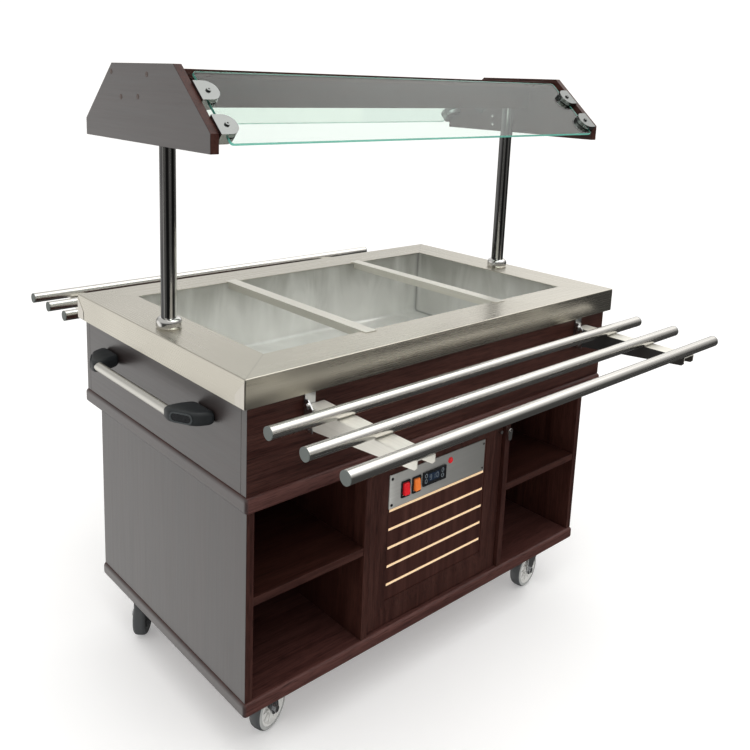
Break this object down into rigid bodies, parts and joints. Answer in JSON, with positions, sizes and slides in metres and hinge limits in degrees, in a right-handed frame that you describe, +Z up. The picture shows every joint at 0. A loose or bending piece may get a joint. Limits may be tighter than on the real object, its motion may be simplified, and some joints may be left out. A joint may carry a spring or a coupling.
{
  "type": "steam table",
  "caption": "Wheeled steam table: heated steel well under a glazed canopy on posts, wooden cupboard with shelf bays and vented control door, folding tray rails, push handles, castors",
  "frame": {"origin": "on the floor, under the middle of the bounding box", "axes": "+Z up; X along the counter between the push handles; -Y is the side with the control door"},
  "size_m": [1.264, 1.2756, 1.384],
  "materials": {
    "wenge_laminate": "dark wenge laminate, satin",
    "worktop_steel": "brushed stainless, straight grain",
    "tank_steel": "stainless, satin",
    "rail_steel": "stainless tube, satin",
    "chrome": "polished plating",
    "zinc_steel": "zinc plated pressings",
    "brass": "cast brass valve body",
    "black_plastic": "moulded, fine texture",
    "cap_plastic": "moulded end plugs",
    "plate_metal": "light grey satin plate",
    "red_plastic": "translucent switch rocker",
    "orange_plastic": "translucent switch rocker",
    "clear_glass": "clear toughened sheet with polished edge",
    "lamp_glass": "frosted white tube",
    "insulation": "faced fibre blanket",
    "wheel_rubber": "grey tread on a white moulded hub"
  },
  "bodies": {
    "cabinet": {"bay_dividers": "wenge_laminate", "bay_shelves": "wenge_laminate", "bottom_board": "wenge_laminate", "cabinet_back": "wenge_laminate", "cabinet_sides": "wenge_laminate", "canopy_end_left": "wenge_laminate", "canopy_end_right": "wenge_laminate", "canopy_top_board": "wenge_laminate", "castor_mounts": "zinc_steel", "door_pivot_pins": "zinc_steel", "drain_valve": "brass", "glass_back": "clear_glass", "glass_clamps": "chrome", "glass_front": "clear_glass", "handle_bars": "rail_steel", "handle_brackets": "black_plastic", "heating_element": "tank_steel", "insulation_jacket": "insulation", "lamp_housing": "plate_metal", "lamp_tube": "lamp_glass", "ledge_board": "wenge_laminate", "lintel_boards": "wenge_laminate", "post_flanges": "chrome", "posts": "rail_steel", "shelf_pins": "zinc_steel", "surround_back": "wenge_laminate", "surround_ends": "wenge_laminate", "surround_front": "wenge_laminate", "tray_brackets": "rail_steel", "turn_button_screw": "chrome", "well_tank": "tank_steel", "worktop": "worktop_steel"},
    "door": {"door_frame": "wenge_laminate", "door_panel": "wenge_laminate", "control_plate": "plate_metal", "plate_screws": "chrome", "switch_bezels": "black_plastic", "temperature_controller": "black_plastic", "pilot_lamp": "red_plastic", "door_stud": "chrome"},
    "turn_button": {"turn_button": "chrome"},
    "rocker_red": {"rocker_red": "red_plastic"},
    "rocker_orange": {"rocker_orange": "orange_plastic"},
    "front_tray": {"front_tray_arms": "rail_steel", "front_tray_tubes": "rail_steel", "front_tray_caps": "cap_plastic"},
    "back_tray": {"back_tray_arms": "rail_steel", "back_tray_tubes": "rail_steel", "back_tray_caps": "cap_plastic"},
    "adapter_left": {"adapter_bar_left": "worktop_steel"},
    "adapter_right": {"adapter_bar_right": "worktop_steel"},
    "drain_lever": {"drain_lever": "zinc_steel"},
    "swivel_fl": {"fork_fl": "zinc_steel"},
    "wheel_fl": {"wheel_fl": "wheel_rubber"},
    "swivel_fr": {"fork_fr": "zinc_steel"},
    "wheel_fr": {"wheel_fr": "wheel_rubber"},
    "swivel_bl": {"fork_bl": "zinc_steel"},
    "wheel_bl": {"wheel_bl": "wheel_rubber"},
    "swivel_br": {"fork_br": "zinc_steel"},
    "wheel_br": {"wheel_br": "wheel_rubber"}
  },
  "joints": [
    {"name": "door_hinge", "type": "hinge", "parent": "cabinet", "child": "door", "pos_m": [-0.211, -0.2945, 0.373], "axis": [0, 0, 1], "range_deg": [-100, 0]},
    {"name": "turn_button_pivot", "type": "hinge", "parent": "cabinet", "child": "turn_button", "pos_m": [0.231, -0.3143, 0.531], "axis": [0, 1, 0], "range_deg": [0, 90]},
    {"name": "rocker_red_pivot", "type": "hinge", "parent": "door", "child": "rocker_red", "pos_m": [-0.114, -0.299, 0.4805], "axis": [1, 0, 0], "range_deg": [0, 16]},
    {"name": "rocker_orange_pivot", "type": "hinge", "parent": "door", "child": "rocker_orange", "pos_m": [-0.08, -0.299, 0.4805], "axis": [1, 0, 0], "range_deg": [0, 16]},
    {"name": "front_tray_hinge", "type": "hinge", "parent": "cabinet", "child": "front_tray", "pos_m": [0.025, -0.352, 0.728], "axis": [1, 0, 0], "range_deg": [0, 95]},
    {"name": "back_tray_hinge", "type": "hinge", "parent": "cabinet", "child": "back_tray", "pos_m": [-0.025, 0.352, 0.728], "axis": [-1, 0, 0], "range_deg": [0, 95]},
    {"name": "adapter_left_lift", "type": "slide", "parent": "cabinet", "child": "adapter_left", "axis": [0, 0, 1], "range_m": [0, 0.15]},
    {"name": "adapter_right_lift", "type": "slide", "parent": "cabinet", "child": "adapter_right", "axis": [0, 0, 1], "range_m": [0, 0.15]},
    {"name": "drain_lever_turn", "type": "hinge", "parent": "cabinet", "child": "drain_lever", "pos_m": [0.12, 0.0332, 0.528], "axis": [0, 1, 0], "range_deg": [0, 90]},
    {"name": "swivel_fl_turn", "type": "hinge", "parent": "cabinet", "child": "swivel_fl", "pos_m": [-0.466, -0.242, 0.115], "axis": [0, 0, 1], "continuous": true},
    {"name": "wheel_fl_spin", "type": "hinge", "parent": "swivel_fl", "child": "wheel_fl", "pos_m": [-0.42986, -0.23026, 0.05], "axis": [-0.309, 0.9511, 0], "continuous": true},
    {"name": "swivel_fr_turn", "type": "hinge", "parent": "cabinet", "child": "swivel_fr", "pos_m": [0.466, -0.242, 0.115], "axis": [0, 0, 1], "continuous": true},
    {"name": "wheel_fr_spin", "type": "hinge", "parent": "swivel_fr", "child": "wheel_fr", "pos_m": [0.42837, -0.24729, 0.05], "axis": [0.1392, -0.9903, 0], "continuous": true},
    {"name": "swivel_bl_turn", "type": "hinge", "parent": "cabinet", "child": "swivel_bl", "pos_m": [-0.466, 0.242, 0.115], "axis": [0, 0, 1], "continuous": true},
    {"name": "wheel_bl_spin", "type": "hinge", "parent": "swivel_bl", "child": "wheel_bl", "pos_m": [-0.49143, 0.21376, 0.05], "axis": [0.7431, -0.6691, 0], "continuous": true},
    {"name": "swivel_br_turn", "type": "hinge", "parent": "cabinet", "child": "swivel_br", "pos_m": [0.466, 0.242, 0.115], "axis": [0, 0, 1], "continuous": true},
    {"name": "wheel_br_spin", "type": "hinge", "parent": "swivel_br", "child": "wheel_br", "pos_m": [0.43029, 0.255, 0.05], "axis": [-0.342, -0.9397, 0], "continuous": true}
  ]
}
